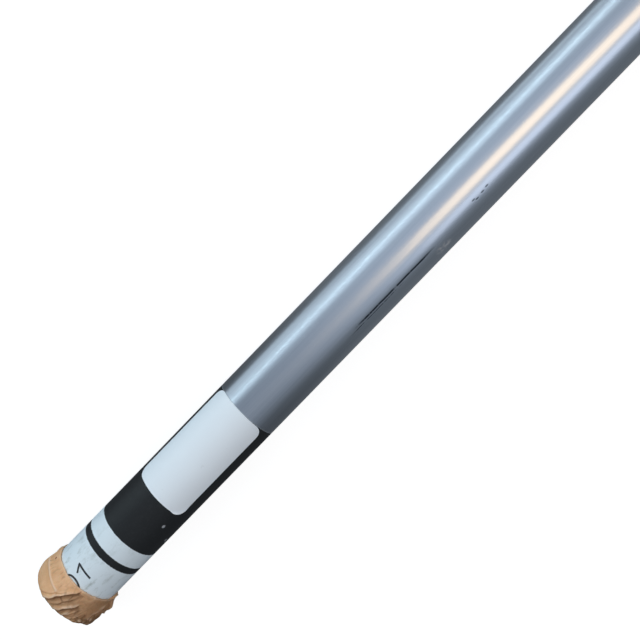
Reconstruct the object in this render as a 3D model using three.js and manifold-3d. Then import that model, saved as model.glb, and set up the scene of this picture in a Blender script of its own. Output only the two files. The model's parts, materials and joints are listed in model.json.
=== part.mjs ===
// A folding avalanche probe: six tube sections on one tension cable.
//
// Units are millimetres and +Z is up. Each section has its own frame: +X runs down the section,
// from its upper end at 0 to its lower end at SECTION_LENGTH, and Z = 0 is the tube's axis.
// Section 6 carries the grip, the lock and the pull handle, and its tube starts at TOP_START, so
// that the handle ends inside the folded bundle's length. Sections 5 to 1 hang from it, one
// inside the other's frame, and section 1 ends in the tip. The sections lie folded side by side,
// and the tip section is swung open from the bundle.

import * as THREE from 'three';
import { mergeVertices } from 'three/addons/utils/BufferGeometryUtils.js';
import Module from 'manifold-3d';

const wasm = await Module();
wasm.setup();

// Driving dimensions
const SECTION_COUNT = 6;
const SECTION_LENGTH = 400;
const TOP_START = 28;
const TUBE_RADIUS = 6.5;
const TUBE_WALL = 1;
const FERRULE_RADIUS = 5.2;
const FERRULE_BORE = 3.5;
const FERRULE_OUTSIDE = 28;
const FERRULE_INSIDE = 28;
const CABLE_RADIUS = 1.1;
const BEND_RADIUS = 7.5;
const BEND_LEAD = 6;
const TIP_OPENING = THREE.MathUtils.degToRad(25);
const THICKEST_RADIUS = 7.5;
const GAP = 0.3;
const SLIDING_FIT = 0.2;

// The ferrule's lead-in cone
const LEAD_IN_LENGTH = 2;
const LEAD_IN_DEPTH = 0.9;

// How far a joint closes once it is straight, until the two tubes nearly touch
const ENGAGE_TRAVEL = 2 * BEND_LEAD + FERRULE_OUTSIDE - GAP;
// How much cable a joint gives up between stowed and locked
const FOLD_CABLE = Math.PI * BEND_RADIUS + 2 * BEND_LEAD;
const PULL_TRAVEL = (SECTION_COUNT - 1) * (FOLD_CABLE + FERRULE_OUTSIDE - GAP);

// Guide bush and the cable lengths that run through it
const BUSH_LENGTH = 8;
const BUSH_DEPTH = FERRULE_OUTSIDE + 4;
const BUSH_BORE = 1.6;
const BUSH_MOUTH = 3.2;
const BUSH_FLARE = 2;
const SOCKET_LEG = BUSH_DEPTH + BUSH_LENGTH + BUSH_FLARE;
const FERRULE_LEG = 8;

// Tip, tape and label
const NOSE_LENGTH = 3;
const NOSE_SPIGOT = 16;
const NOSE_STEPS = 5;
const NOSE_FLAT = 2;
const NOSE_RIM = 1;
const NOSE_WEB = 2;
const NOSE_BORE = 2.7;
const ANCHOR_START = SECTION_LENGTH - 14;
const ANCHOR_LENGTH = 10;
const ANCHOR_RADIUS = 2.3;
const CRIMP_BORE = 1.4;
const TAPE_EDGE = SECTION_LENGTH - 2.2;
const TAPE_THICKNESS = 0.8;
const TAPE_LIP = 0.4;
const LABEL_LENGTH = 21.8;
const LABEL_START = TAPE_EDGE - 21.3 - LABEL_LENGTH;
const LABEL_LEFT = THREE.MathUtils.degToRad(65.5);
const LABEL_RIGHT = THREE.MathUtils.degToRad(47);
const LABEL_LIFT = 0.1;
const LABEL_THICKNESS = 0.15;

// Grip on the top section
const GRIP_START = 12;
const GRIP_LENGTH = 120;
const GRIP_EDGE_LENGTH = 1;
const GRIP_EDGE_DEPTH = 0.4;
const COLLAR_LENGTH = 6;
const SLEEVE_BORE = TUBE_RADIUS + SLIDING_FIT;

// Lock at the top end
const LOCK_RADIUS = 7.4;
const LOCK_HEAD = 22;
const LOCK_SPIGOT = 18;
const LOCK_BORE = 3.5;
const LOCK_CHAMFER = 1;
const BUTTON_PLACE = -11;
const BUTTON_THICKNESS = 5.4;
const BUTTON_HALF_WIDTH = 4;
const BUTTON_TOP = 8.9;
const BUTTON_FOOT = -3.4;
const BUTTON_TRAVEL = 1.8;
const SLOT_FLOOR = -5.5;
const SPRING_FLOOR = -6.7;
const SPRING_POCKET = 2.3;
const SPRING_RADIUS = 1.6;
const SPRING_WIRE = 0.25;
const SPRING_TURNS = 2.5;
const SPRING_PLAY = 0.15;
const BARREL_RADIUS = 3;
const BARREL_NECK = 2;
const BARREL_LENGTH = 18;
const BARREL_CONE = 2;
const NECK_PLACE = 7;
const NECK_PLAY = 0.4;

// Pull handle
const HANDLE_LENGTH = 28;
const HANDLE_START = -LOCK_HEAD - GAP;
const HANDLE_END = HANDLE_START - HANDLE_LENGTH;
const WAIST_PLACE = HANDLE_START - 0.42 * HANDLE_LENGTH;
const WAIST_RADIUS = 5.2;
const WAIST_STEPS = 8;
const HANDLE_TAIL = 2.5;
const HANDLE_TAIL_DEPTH = 0.9;
const HANDLE_FACE = 1.5;
const HANDLE_FACE_DEPTH = 1.4;
const HANDLE_HOLE = 1.5;
const CAP_RADIUS = 4.5;
const CAP_THICKNESS = 3;
const CRIMP_LENGTH = 8;
const CRIMP_RADIUS = 2.6;
const HANDLE_POCKET = 14;

const TUBE_SIDES = 32;
const ROUND_SIDES = 24;
const WINDOW_SIDES = 20;
const SMALL_SIDES = 16;
const CABLE_SIDES = 8;
const FOLD_STEPS = 32;
const SPRING_SIDES = 6;
const SPRING_STEPS = 40;
const LABEL_SEGMENTS = 6;

const materials = {
  tube: material('#9aa2ac', 0.32, 0.9),
  ferrule: material('#b9bcc0', 0.25, 1),
  bush: material('#2a2a2c', 0.6, 0),
  cable: material('#8c8f93', 0.35, 0.9),
  anchor: material('#a58a4c', 0.4, 1),
  nose: material('#8e9298', 0.4, 1),
  tape: material('#c39a72', 0.85, 0),
  label: material('#cdd6de', 0.6, 0),
  rubber: material('#232427', 0.85, 0),
  collar: material('#3c3f44', 0.4, 0.8),
  lock: material('#2e3136', 0.35, 0.85),
  button: material('#c4401c', 0.5, 0),
  spring: material('#a9adb2', 0.3, 1),
  handle: material('#c4401c', 0.6, 0),
};

function material(color, roughness, metalness) {
  return new THREE.MeshStandardMaterial({ color, roughness, metalness });
}

function named(name, geometry, look) {
  const mesh = new THREE.Mesh(geometry, materials[look]);
  mesh.name = name;
  return mesh;
}

// Only the positions are kept, with shared vertices merged, so a mesh is one closed surface.
function closed(geometry) {
  geometry.deleteAttribute('normal');
  geometry.deleteAttribute('uv');
  return mergeVertices(geometry, 1e-4);
}

// A piece turned about X. The profile is a list of [x, radius], and runs so that material is on
// its right when x is drawn to the right and radius up.
function turned(profile, sides) {
  const points = profile.map(([x, radius]) => new THREE.Vector2(radius, x));
  const geometry = new THREE.LatheGeometry(points, sides);
  geometry.rotateZ(-Math.PI / 2);
  return closed(geometry);
}

function rod(start, end, radius, sides) {
  return turned([[start, 0], [start, radius], [end, radius], [end, 0]], sides);
}

function sleeve(start, end, inner, outer, sides) {
  return turned([[start, inner], [start, outer], [end, outer], [end, inner], [start, inner]], sides);
}

function box(sizeX, sizeY, lowZ, highZ, x) {
  const geometry = new THREE.BoxGeometry(sizeX, sizeY, highZ - lowZ);
  geometry.translate(x, 0, (lowZ + highZ) / 2);
  return closed(geometry);
}

function toManifold(geometry) {
  return new wasm.Manifold(new wasm.Mesh({
    numProp: 3,
    vertProperties: geometry.attributes.position.array,
    triVerts: new Uint32Array(geometry.index.array),
  }));
}

function toGeometry(manifold) {
  const mesh = manifold.getMesh();
  const geometry = new THREE.BufferGeometry();
  geometry.setAttribute('position', new THREE.BufferAttribute(mesh.vertProperties, 3));
  geometry.setIndex(new THREE.BufferAttribute(mesh.triVerts, 1));
  return geometry;
}

function cut(base, ...tools) {
  const whole = tools.reduce((solid, tool) => solid.subtract(toManifold(tool)), toManifold(base));
  return toGeometry(whole);
}

// The cable's way round a fold: out of the socket, round the bend and into the ferrule.
class FoldPath extends THREE.Curve {
  constructor(side, turn) {
    super();
    this.side = side;
    this.turn = turn;
    this.before = SOCKET_LEG + BEND_LEAD;
    this.around = BEND_RADIUS * turn;
    this.after = BEND_LEAD + FERRULE_LEG;
  }

  getPoint(t, target = new THREE.Vector3()) {
    const along = t * (this.before + this.around + this.after);
    const angle = THREE.MathUtils.clamp((along - this.before) / BEND_RADIUS, 0, this.turn);
    const straight = Math.min(along - this.before, 0);
    const past = Math.max(along - this.before - this.around, 0);
    const x = BEND_RADIUS * Math.sin(angle) + straight + past * Math.cos(angle);
    const y = BEND_RADIUS * (1 - Math.cos(angle)) + past * Math.sin(angle);
    return target.set(x, this.side * y, 0);
  }
}

class Helix extends THREE.Curve {
  constructor(radius, turns, low, high) {
    super();
    Object.assign(this, { radius, turns, low, high });
  }

  getPoint(t, target = new THREE.Vector3()) {
    const angle = 2 * Math.PI * this.turns * t;
    const z = THREE.MathUtils.lerp(this.low, this.high, t);
    return target.set(this.radius * Math.cos(angle), this.radius * Math.sin(angle), z);
  }
}

// A round shape is drawn with two sides for each curve segment.
function tubeAlong(path, radius, sides, steps) {
  const section = new THREE.Shape();
  section.absarc(0, 0, radius, 0, 2 * Math.PI);
  const options = { steps, curveSegments: sides / 2, extrudePath: path, bevelEnabled: false };
  return closed(new THREE.ExtrudeGeometry(section, options));
}

function tube(number) {
  const start = number === SECTION_COUNT ? TOP_START : 0;
  const bore = TUBE_RADIUS - TUBE_WALL;
  const geometry = sleeve(start, SECTION_LENGTH, bore, TUBE_RADIUS, TUBE_SIDES);
  return named(`tube_${number}`, geometry, 'tube');
}

function ferrule(number) {
  const profile = [
    [-FERRULE_OUTSIDE, FERRULE_BORE],
    [-FERRULE_OUTSIDE, FERRULE_RADIUS - LEAD_IN_DEPTH],
    [LEAD_IN_LENGTH - FERRULE_OUTSIDE, FERRULE_RADIUS],
    [FERRULE_INSIDE, FERRULE_RADIUS],
    [FERRULE_INSIDE, FERRULE_BORE],
    [-FERRULE_OUTSIDE, FERRULE_BORE],
  ];
  return named(`ferrule_${number}`, turned(profile, TUBE_SIDES), 'ferrule');
}

// The bush's bore flares towards the socket's mouth, where the cable comes in at an angle.
function guideBush(number) {
  const low = SECTION_LENGTH - BUSH_DEPTH - BUSH_LENGTH;
  const high = SECTION_LENGTH - BUSH_DEPTH;
  const profile = [
    [low, BUSH_BORE],
    [low, FERRULE_RADIUS],
    [high, FERRULE_RADIUS],
    [high, BUSH_MOUTH],
    [high - BUSH_FLARE, BUSH_BORE],
    [low, BUSH_BORE],
  ];
  return named(`guide_bush_${number}`, turned(profile, SMALL_SIDES), 'bush');
}

// A section's own cable stops short, so that the fold's cable has room to slide in. In the tip
// section it ends inside the anchor.
function sectionCable(number) {
  const inAnchor = ANCHOR_START + 0.9 * ANCHOR_LENGTH;
  const start = FERRULE_LEG - FERRULE_OUTSIDE + GAP;
  const socketEnd = SECTION_LENGTH - SOCKET_LEG - ENGAGE_TRAVEL - GAP;
  const end = number === 1 ? inAnchor : socketEnd;
  return named(`cable_${number}`, rod(start, end, CABLE_RADIUS, CABLE_SIDES), 'cable');
}

function foldCable(number, side, turn) {
  const geometry = tubeAlong(new FoldPath(side, turn), CABLE_RADIUS, CABLE_SIDES, FOLD_STEPS);
  const mesh = named(`fold_cable_${number}`, geometry, 'cable');
  mesh.position.x = SECTION_LENGTH + BEND_LEAD;
  return mesh;
}

// A plug with a short rim and a dome that ends in a small flat. Its bore takes the anchor.
function nose() {
  const shoulder = SECTION_LENGTH + GAP;
  const boreEnd = SECTION_LENGTH - NOSE_WEB;
  const dome = [];
  for (let step = 0; step <= NOSE_STEPS; step += 1) {
    const angle = (step / NOSE_STEPS) * (Math.PI / 2);
    const x = shoulder + NOSE_RIM + (NOSE_LENGTH - NOSE_RIM) * Math.sin(angle);
    dome.push([x, NOSE_FLAT + (TUBE_RADIUS - NOSE_FLAT) * Math.cos(angle)]);
  }
  const profile = [
    [boreEnd, 0],
    [boreEnd, NOSE_BORE],
    [SECTION_LENGTH - NOSE_SPIGOT, NOSE_BORE],
    [SECTION_LENGTH - NOSE_SPIGOT, FERRULE_RADIUS],
    [shoulder, FERRULE_RADIUS],
    [shoulder, TUBE_RADIUS],
    ...dome,
    [shoulder + NOSE_LENGTH, 0],
  ];
  return named('tip_point', turned(profile, ROUND_SIDES), 'nose');
}

function cableAnchor() {
  const end = ANCHOR_START + ANCHOR_LENGTH;
  const geometry = sleeve(ANCHOR_START, end, CRIMP_BORE, ANCHOR_RADIUS, SMALL_SIDES);
  return named('cable_anchor', geometry, 'anchor');
}

// The tape is a plain cup over the tip: a short skirt on the tube and a blunt end over the nose.
function tapeWrap() {
  const inner = TUBE_RADIUS + SLIDING_FIT;
  const insideEnd = SECTION_LENGTH + NOSE_LENGTH + 2 * GAP;
  const outsideEnd = insideEnd + TAPE_THICKNESS;
  const inside = { corner: 5, cone: 2.2 };
  const outside = { flat: 4, shoulder: 6.2, shoulderInset: 0.6, cone: 1 };
  const profile = [
    [insideEnd, 0],
    [insideEnd, inside.corner],
    [insideEnd - inside.cone, inner],
    [TAPE_EDGE, inner],
    [TAPE_EDGE, inner + TAPE_LIP],
    [SECTION_LENGTH, THICKEST_RADIUS],
    [insideEnd - outside.cone, THICKEST_RADIUS],
    [outsideEnd - outside.shoulderInset, outside.shoulder],
    [outsideEnd, outside.flat],
    [outsideEnd, 0],
  ];
  return named('tape_wrap', turned(profile, ROUND_SIDES), 'tape');
}

// The label is a thin patch a little above the tube. Its sides are angles from the tube's top:
// LABEL_RIGHT towards +Y and LABEL_LEFT towards -Y.
function label() {
  const inner = TUBE_RADIUS + LABEL_LIFT;
  const outer = inner + LABEL_THICKNESS;
  const low = Math.PI / 2 - LABEL_RIGHT;
  const high = Math.PI / 2 + LABEL_LEFT;
  const patch = new THREE.Shape();
  patch.absarc(0, 0, outer, low, high, false);
  patch.absarc(0, 0, inner, high, low, true);
  patch.closePath();
  const options = { depth: LABEL_LENGTH, curveSegments: LABEL_SEGMENTS, bevelEnabled: false };
  const geometry = new THREE.ExtrudeGeometry(patch, options);
  geometry.rotateX(Math.PI / 2);
  geometry.rotateZ(Math.PI / 2);
  geometry.translate(LABEL_START, 0, 0);
  return named('label', closed(geometry), 'label');
}

function grip() {
  const end = GRIP_START + GRIP_LENGTH;
  const rubber = turned([
    [GRIP_START, SLEEVE_BORE],
    [GRIP_START, THICKEST_RADIUS - GRIP_EDGE_DEPTH],
    [GRIP_START + GRIP_EDGE_LENGTH, THICKEST_RADIUS],
    [end - GRIP_EDGE_LENGTH, THICKEST_RADIUS],
    [end, THICKEST_RADIUS - GRIP_EDGE_DEPTH],
    [end, SLEEVE_BORE],
    [GRIP_START, SLEEVE_BORE],
  ], TUBE_SIDES);
  return [
    named('grip_sleeve', rubber, 'rubber'),
    collar('grip_collar_upper', GRIP_START - GAP - COLLAR_LENGTH),
    collar('grip_collar_lower', end + GAP),
  ];
}

function collar(name, start) {
  const geometry = sleeve(start, start + COLLAR_LENGTH, SLEEVE_BORE, LOCK_RADIUS, TUBE_SIDES);
  return named(name, geometry, 'collar');
}

// The lock body is a plug with a head. A slot across the head guides the button, and a pocket
// under the slot holds the button's spring.
function lockBody() {
  const turnedBody = turned([
    [-LOCK_HEAD, LOCK_BORE],
    [-LOCK_HEAD, LOCK_RADIUS - LOCK_CHAMFER],
    [LOCK_CHAMFER - LOCK_HEAD, LOCK_RADIUS],
    [-GAP, LOCK_RADIUS],
    [-GAP, FERRULE_RADIUS],
    [LOCK_SPIGOT, FERRULE_RADIUS],
    [LOCK_SPIGOT, LOCK_BORE],
    [-LOCK_HEAD, LOCK_BORE],
  ], TUBE_SIDES);
  const slotX = BUTTON_THICKNESS + 2 * SLIDING_FIT;
  const slotY = 2 * (BUTTON_HALF_WIDTH + SLIDING_FIT);
  const slot = box(slotX, slotY, SLOT_FLOOR, 2 * LOCK_RADIUS, BUTTON_PLACE);
  const pocket = upright(SPRING_FLOOR, 0, SPRING_POCKET);
  return named('lock_body', cut(turnedBody, slot, pocket), 'lock');
}

// A round cutter that stands along Z at the button's place.
function upright(low, high, radius) {
  const geometry = new THREE.CylinderGeometry(radius, radius, high - low, SMALL_SIDES);
  geometry.rotateX(Math.PI / 2);
  geometry.translate(BUTTON_PLACE, 0, (low + high) / 2);
  return closed(geometry);
}

// The window lets the cable through. Its wide part passes the barrel when the button is pressed,
// and its narrow part drops into the barrel's neck when the button is out.
function lockButton() {
  const width = 2 * BUTTON_HALF_WIDTH;
  const plate = box(BUTTON_THICKNESS, width, BUTTON_FOOT, BUTTON_TOP, BUTTON_PLACE);
  const low = BUTTON_PLACE - BUTTON_THICKNESS;
  const high = BUTTON_PLACE + BUTTON_THICKNESS;
  const wide = rod(low, high, BARREL_RADIUS + GAP, WINDOW_SIDES);
  wide.translate(0, 0, BUTTON_TRAVEL);
  const narrow = rod(low, high, BARREL_NECK + GAP, WINDOW_SIDES);
  return named('lock_button', cut(plate, wide, narrow), 'button');
}

function lockSpring() {
  const inset = SPRING_WIRE + SPRING_PLAY;
  const path = new Helix(SPRING_RADIUS, SPRING_TURNS, SPRING_FLOOR + inset, BUTTON_FOOT - inset);
  const geometry = tubeAlong(path, SPRING_WIRE, SPRING_SIDES, SPRING_STEPS);
  const mesh = named('lock_spring', geometry, 'spring');
  mesh.position.x = BUTTON_PLACE;
  return mesh;
}

// The barrel is drawn from inside the tube into the lock, where its neck meets the button.
function lockBarrel() {
  const neckCentre = BUTTON_PLACE + PULL_TRAVEL;
  const low = neckCentre - NECK_PLACE;
  const high = low + BARREL_LENGTH;
  const neck = BUTTON_THICKNESS / 2 + NECK_PLAY;
  const geometry = turned([
    [low, CRIMP_BORE],
    [low, BARREL_NECK],
    [low + BARREL_CONE, BARREL_RADIUS],
    [neckCentre - neck, BARREL_RADIUS],
    [neckCentre - neck, BARREL_NECK],
    [neckCentre + neck, BARREL_NECK],
    [neckCentre + neck, BARREL_RADIUS],
    [high, BARREL_RADIUS],
    [high, CRIMP_BORE],
    [low, CRIMP_BORE],
  ], SMALL_SIDES);
  return named('lock_barrel', geometry, 'anchor');
}

// The handle narrows to a waist for the fingers. Its pocket holds the crimp, behind the cap.
function pullHandle() {
  const outer = [];
  const low = HANDLE_END + HANDLE_TAIL;
  const high = HANDLE_START - HANDLE_FACE;
  for (let step = 0; step <= WAIST_STEPS; step += 1) {
    const x = THREE.MathUtils.lerp(low, high, step / WAIST_STEPS);
    const reach = Math.min(Math.abs(x - WAIST_PLACE) / (HANDLE_LENGTH / 2), 1);
    const flare = THREE.MathUtils.smoothstep(reach, 0, 1);
    outer.push([x, THREE.MathUtils.lerp(WAIST_RADIUS, LOCK_RADIUS, flare)]);
  }
  const geometry = turned([
    [HANDLE_END, CAP_RADIUS + GAP],
    [HANDLE_END, LOCK_RADIUS - HANDLE_TAIL_DEPTH],
    ...outer,
    [HANDLE_START, LOCK_RADIUS - HANDLE_FACE_DEPTH],
    [HANDLE_START, HANDLE_HOLE],
    [HANDLE_END + HANDLE_POCKET, HANDLE_HOLE],
    [HANDLE_END + HANDLE_POCKET, CAP_RADIUS + GAP],
    [HANDLE_END, CAP_RADIUS + GAP],
  ], ROUND_SIDES);
  return named('pull_handle', geometry, 'handle');
}

function handleCap() {
  const inside = HANDLE_END + CAP_THICKNESS;
  return named('handle_cap', rod(HANDLE_END, inside, CAP_RADIUS, ROUND_SIDES), 'collar');
}

function handleCrimp() {
  const low = HANDLE_END + HANDLE_POCKET - GAP - CRIMP_LENGTH;
  const geometry = sleeve(low, low + CRIMP_LENGTH, CRIMP_BORE, CRIMP_RADIUS, SMALL_SIDES);
  return named('cable_crimp', geometry, 'anchor');
}

function pullCable() {
  const top = HANDLE_END + HANDLE_POCKET - CRIMP_LENGTH;
  const bottom = SECTION_LENGTH - TOP_START - SOCKET_LEG - GAP;
  return named('cable_6', rod(top, bottom, CABLE_RADIUS, CABLE_SIDES), 'cable');
}

// The grip, lock and handle are measured from the top tube's upper end.
function topParts() {
  const group = new THREE.Group();
  group.add(...grip(), lockBody(), lockButton(), lockSpring(), lockBarrel());
  group.add(pullHandle(), handleCap(), handleCrimp(), pullCable());
  group.position.x = TOP_START;
  return group;
}

function tipParts() {
  return [nose(), cableAnchor(), tapeWrap(), label()];
}

// One section in its own frame, without the sections that hang from it.
function section(number) {
  const group = new THREE.Group();
  group.add(tube(number));
  if (number < SECTION_COUNT) {
    group.add(ferrule(number), sectionCable(number));
  } else {
    group.add(topParts());
  }
  if (number > 1) {
    group.add(guideBush(number));
  } else {
    group.add(...tipParts());
  }
  return group;
}

// Places the next section down: swung about the middle of the cable's bend by the turn.
function hang(parent, child, side, turn) {
  const arm = new THREE.Vector3(BEND_LEAD + FERRULE_OUTSIDE, -side * BEND_RADIUS, 0);
  arm.applyAxisAngle(new THREE.Vector3(0, 0, 1), side * turn);
  child.position.set(SECTION_LENGTH + BEND_LEAD, side * BEND_RADIUS, 0).add(arm);
  child.rotation.z = side * turn;
  parent.add(child);
}

function probe() {
  const top = section(SECTION_COUNT);
  let upper = top;
  for (let number = SECTION_COUNT; number > 1; number -= 1) {
    const side = number % 2 === 0 ? -1 : 1;
    const turn = number === 2 ? Math.PI - TIP_OPENING : Math.PI;
    const lower = section(number - 1);
    upper.add(foldCable(number, side, turn));
    hang(upper, lower, side, turn);
    upper = lower;
  }
  top.rotation.z = Math.PI;
  return top;
}

// The origin is under the middle of the whole object, on the surface that it lies on.
function centred(object) {
  const group = new THREE.Group();
  group.add(object);
  const bounds = new THREE.Box3().setFromObject(group, true);
  const middle = bounds.getCenter(new THREE.Vector3());
  object.position.set(-middle.x, -middle.y, -bounds.min.z);
  return group;
}

export default centred(probe());
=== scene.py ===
"""Looks of a folding avalanche probe, built around its CAD frame. Lengths are in millimetres.

Each tube section has its own frame: x runs down the section from its upper end, and an angle runs
round it from the top towards the section's side. Pieces are made in that frame, and keep it in
the point attribute "section", which the materials read.
"""

import functools
import itertools
import json
from collections import namedtuple
from math import ceil, cos, exp, hypot, pi, radians, sin, sqrt

import bmesh
import bpy
import numpy as np
from mathutils import Matrix, Vector, noise


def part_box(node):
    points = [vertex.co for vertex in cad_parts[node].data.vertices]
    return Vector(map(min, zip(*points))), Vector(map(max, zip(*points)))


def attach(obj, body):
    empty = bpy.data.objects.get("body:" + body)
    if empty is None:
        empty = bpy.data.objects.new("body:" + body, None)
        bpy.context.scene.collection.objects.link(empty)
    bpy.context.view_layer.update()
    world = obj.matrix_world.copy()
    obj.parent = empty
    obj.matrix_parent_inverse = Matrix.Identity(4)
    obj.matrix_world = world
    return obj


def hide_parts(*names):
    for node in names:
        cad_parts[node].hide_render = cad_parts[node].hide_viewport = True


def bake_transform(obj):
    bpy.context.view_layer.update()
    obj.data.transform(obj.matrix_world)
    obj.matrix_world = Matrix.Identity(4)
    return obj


# A millimetre in metres, the unit of the frame and of Blender
MM = 0.001
UP = Vector((0, 0, 1))
SECTIONS = range(1, 7)

# Sizes that the CAD model shares
SECTION_LENGTH = 400
TOP_START = 28
TUBE_RADIUS = 6.5
TUBE_BORE = 5.5
FERRULE_RADIUS = 5.2
FERRULE_BORE = 3.5
LEAD_IN = (2, 0.9)
BUSH_BORE = 1.6
BUSH_FLARE = 2
CABLE_RADIUS = 1.1
CRIMP_BORE = 1.3
BEND_RADIUS = 7.5
BEND_LEAD = 6
SOCKET_LEG = 42
FERRULE_LEG = 8
THICKEST_RADIUS = 7.5
SLEEVE_BORE = TUBE_RADIUS + 0.2
GAP = 0.3
LOCK_RADIUS = 7.4
LOCK_BORE = 3.5
LOCK_CHAMFER = 1
BUTTON_TRAVEL = 1.8
BUTTON_HALF_WIDTH = 4
SLOT_FLOOR = -5.5
SPRING_FLOOR = -6.7
SPRING_POCKET = 2.3
BARREL_RADIUS = 3
BARREL_NECK = 2
BARREL_CONE = 2
NECK_PLACE = 7
NECK_PLAY = 0.4
HANDLE_POCKET = 14
HANDLE_HOLE = 1.5
WAIST_RADIUS = 5.2
CAP_RADIUS = 4.5

# Print on a section's lower end, measured up from the edge of the tip's tape
TAPE_EDGE = SECTION_LENGTH - 2.2
RING_PRINT = (6.4, 7.86)
BLACK_PRINT = (11.34, 43.1)
PRINT_SOFTNESS = 0.06
# Wear on the tip section: (degrees round, span up, half width, gaps) and (mm up, degrees round)
SCRATCHES = ((37, (69.0, 87.0), 0.2, 0.26), (42, (67.0, 79.0), 0.09, 0.34))
PITS = ((98.8, 28), (99.5, 31), (101.0, 29), (102.2, 27))

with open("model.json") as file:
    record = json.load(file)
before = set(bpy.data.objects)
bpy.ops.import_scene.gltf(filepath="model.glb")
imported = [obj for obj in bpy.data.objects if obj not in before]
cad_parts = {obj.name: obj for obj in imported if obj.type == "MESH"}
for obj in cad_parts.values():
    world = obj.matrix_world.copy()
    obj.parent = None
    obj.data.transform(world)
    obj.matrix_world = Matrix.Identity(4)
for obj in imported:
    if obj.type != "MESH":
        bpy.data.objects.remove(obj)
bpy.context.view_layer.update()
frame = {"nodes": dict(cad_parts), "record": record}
BODIES = frame["record"]["behaviour"]["bodies"]
BODY_OF = {node: body for body, nodes in BODIES.items() for node in nodes}

Section = namedtuple("Section", "origin along side")


def places_of(node):
    return [vertex.co / MM for vertex in frame["nodes"][node].data.vertices]


def centre(node):
    places = places_of(node)
    return sum(places, Vector()) / len(places)


def section_frame(number):
    """The frame of one section. Its origin is the middle of its tube's upper end."""
    middle = centre(f"tube_{number}")
    above = centre("grip_sleeve" if number == 6 else f"ferrule_{number}")
    along = (middle - above).normalized()
    start = TOP_START if number == 6 else 0
    return Section(middle - along * (start + SECTION_LENGTH) / 2, along, UP.cross(along))


sections = {number: section_frame(number) for number in SECTIONS}
tip = sections[1]
top = sections[6]


def section_of(body):
    """The section in whose frame a body's pieces are made."""
    return sections[int(body[-1])] if body[-1].isdigit() else top


def flat_point(section, x, y, z):
    """A point in metres, from its place in a section's frame."""
    return (section.origin + section.along * x + section.side * y + UP * z) * MM


def point(section, x, radius, angle):
    return flat_point(section, x, radius * sin(angle), radius * cos(angle))


def reach(node):
    """How far a CAD node reaches along its section."""
    section = section_of(BODY_OF[node])
    places = [(place - section.origin).dot(section.along) for place in places_of(node)]
    return min(places), max(places)


def add_object(name, data):
    thing = bpy.data.objects.new(name, data)
    bpy.context.scene.collection.objects.link(thing)
    return thing


def mesh_object(name, editable):
    mesh = bpy.data.meshes.new(name)
    editable.to_mesh(mesh)
    editable.free()
    return add_object(name, mesh)


# Shader nodes


def operator(kind):
    return lambda value, other: value.graph.math(kind, value, other)


class Value:
    """A node's output. It adds, subtracts, multiplies and divides like a number."""

    def __init__(self, graph, socket):
        self.graph = graph
        self.socket = socket

    __add__ = operator("ADD")
    __sub__ = operator("SUBTRACT")
    __mul__ = operator("MULTIPLY")
    __truediv__ = operator("DIVIDE")
    most = operator("MAXIMUM")

    def __rsub__(self, other):
        return self.graph.math("SUBTRACT", other, self)

    def step(self, low, high, to_low=0.0, to_high=1.0):
        """Goes smoothly from to_low at low to to_high at high."""
        inputs = {0: self, 1: low, 2: high, 3: to_low, 4: to_high}
        return self.graph.node("MapRange", inputs, interpolation_type="SMOOTHSTEP")

    def between(self, low, high, soft):
        rise = self.step(low - soft, low + soft)
        return rise * self.step(high - soft, high + soft, 1.0, 0.0)

    def mix(self, a, b):
        """A colour from a, where the value is 0, to b, where it is 1."""
        return self.graph.node("Mix", {0: self, 6: a, 7: b}, 2, data_type="RGBA")

    def lerp(self, a, b):
        return self.graph.node("Mix", {0: self, 2: a, 3: b})


class Graph:
    """A short way to write the nodes of a material or a world."""

    def __init__(self, owner):
        self.owner = owner
        owner.use_nodes = True
        self.nodes = owner.node_tree.nodes
        self.links = owner.node_tree.links

    @functools.cached_property
    def place(self):
        """The place in the section's frame: x down it, y to its side, z up."""
        return self.attribute("section", "Vector")

    def feed(self, socket, value):
        if isinstance(value, Value):
            self.links.new(value.socket, socket)
        elif isinstance(value, tuple) and socket.type == "RGBA":
            socket.default_value = (*value, 1)
        else:
            socket.default_value = value

    def set(self, shader="Principled BSDF", **values):
        """Sets a shader's own sockets. Names use _ for a space."""
        for name, value in values.items():
            self.feed(self.nodes[shader].inputs[name.replace("_", " ")], value)
        return self.owner

    def node(self, kind, inputs, output=0, **settings):
        node = self.nodes.new("ShaderNode" + kind)
        for name, value in settings.items():
            setattr(node, name, value)
        for socket, value in inputs.items():
            self.feed(node.inputs[socket], value)
        return Value(self, node.outputs[output])

    def attribute(self, name, output="Fac"):
        return self.node("Attribute", {}, output, attribute_name=name)

    def split(self, vector):
        parts = self.node("SeparateXYZ", {0: vector}).socket.node.outputs
        return [Value(self, part) for part in parts]

    def math(self, operation, *values):
        return self.node("Math", dict(enumerate(values)), operation=operation)

    def noise(self, scale, detail=4, roughness=0.55, place=None):
        """Noise of a scale, or of two scales: along the section and across it."""
        place = place or self.place
        if isinstance(scale, tuple):
            inputs = {0: place, 1: (scale[0], scale[1], scale[1])}
            place = self.node("VectorMath", inputs, operation="MULTIPLY")
            scale = 1
        inputs = {"Vector": place, "Scale": scale, "Detail": detail, "Roughness": roughness}
        return self.node("TexNoise", inputs)

    def bump(self, height, distance, strength=0.5):
        """A bump whose height 0 to 1 stands for a distance in metres."""
        inputs = {"Height": height, "Distance": distance, "Strength": strength}
        return self.node("Bump", inputs)


def new_look(name):
    return Graph(bpy.data.materials.new(name))


# Camera and light

CAMERA_PLACE = TAPE_EDGE - 68.4
CAMERA_HEIGHT = 127.94
CAMERA_AIM = TAPE_EDGE - 64.5
CAMERA_AIM_SIDE = -1.77
CAMERA_ROLL = radians(45.89)
CAMERA_LENS = 38.55
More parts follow.
